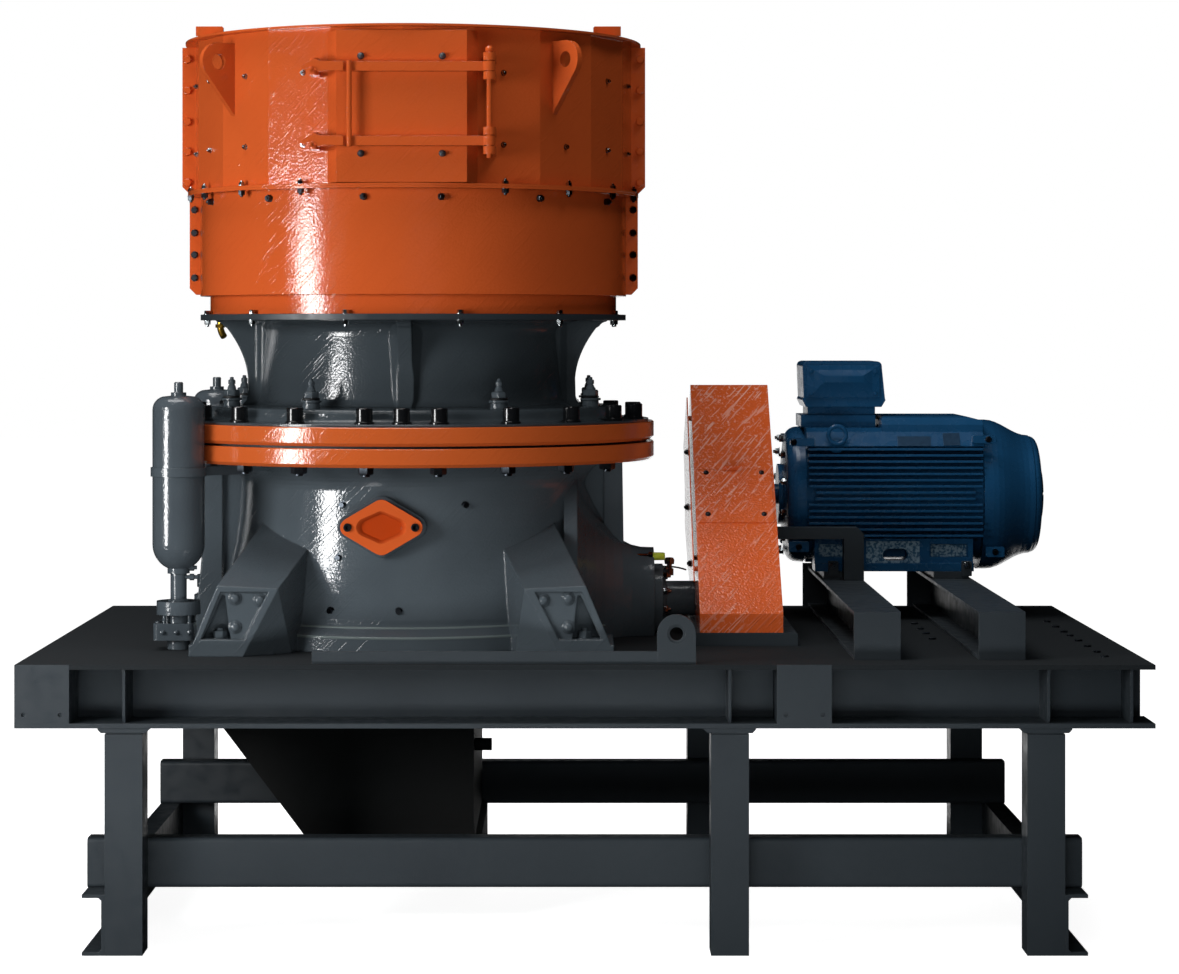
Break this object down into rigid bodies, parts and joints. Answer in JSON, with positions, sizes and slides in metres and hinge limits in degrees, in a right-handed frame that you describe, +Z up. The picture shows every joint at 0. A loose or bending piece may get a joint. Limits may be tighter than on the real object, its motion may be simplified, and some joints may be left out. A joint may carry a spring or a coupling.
{
  "type": "cone crusher plant on a steel stand",
  "caption": "Cone crusher with a many-sided feed hopper, belt guard and electric motor on a welded steel stand; the hopper's inspection door swings open.",
  "frame": {"origin": "middle of the stand's footprint at floor level", "axes": "+Z up, +X along the stand from the crusher to the motor, -Y to the front with the inspection door"},
  "size_m": [4.8, 2.76, 4],
  "materials": {
    "frame_steel": "satin dark grey paint on rolled steel",
    "shell_casting": "gloss grey paint on cast steel",
    "orange_steel": "gloss orange paint on steel plate",
    "motor_iron": "semi-gloss blue enamel on cast iron",
    "chute_steel": "matt near-black paint on plate",
    "manganese_steel": "bare worn cast wear liner"
  },
  "bodies": {
    "root": {"deck_plate": "frame_steel", "girder_front": "frame_steel", "girder_rear": "frame_steel", "cross_beam_left": "frame_steel", "cross_beam_middle": "frame_steel", "cross_beam_right": "frame_steel", "crusher_bearers": "frame_steel", "legs_front": "frame_steel", "legs_rear": "frame_steel", "rail_front": "frame_steel", "rail_rear": "frame_steel", "sill_left": "frame_steel", "sill_right": "frame_steel", "chute": "chute_steel", "base_bar": "frame_steel", "bottom_shell": "shell_casting", "inspection_cover": "orange_steel", "lower_flange": "orange_steel", "upper_flange": "orange_steel", "top_shell": "shell_casting", "spider": "shell_casting", "spider_cap": "orange_steel", "concave": "manganese_steel", "mantle": "manganese_steel", "pinion_housing": "shell_casting", "hopper_plate": "frame_steel", "hopper_ring": "orange_steel", "hopper_lower": "orange_steel", "hopper_upper": "orange_steel", "hinge_pin": "frame_steel", "accumulator_front": "shell_casting", "accumulator_rear": "shell_casting", "accumulator_valves": "shell_casting", "accumulator_bracket": "shell_casting", "guard": "orange_steel", "guard_cover": "orange_steel", "guard_base": "frame_steel", "guard_arm": "frame_steel", "motor_rail_left": "frame_steel", "motor_rail_right": "frame_steel", "motor_base": "frame_steel", "motor_frame": "motor_iron", "motor_drive_end": "motor_iron", "motor_cowl": "motor_iron", "terminal_box": "motor_iron"},
    "door": {"door": "orange_steel"}
  },
  "joints": [
    {"name": "door_hinge", "type": "hinge", "parent": "root", "child": "door", "pos_m": [-0.41, -1.075, 3.6], "axis": [0, 0, 1], "range_deg": [0, 120]}
  ]
}
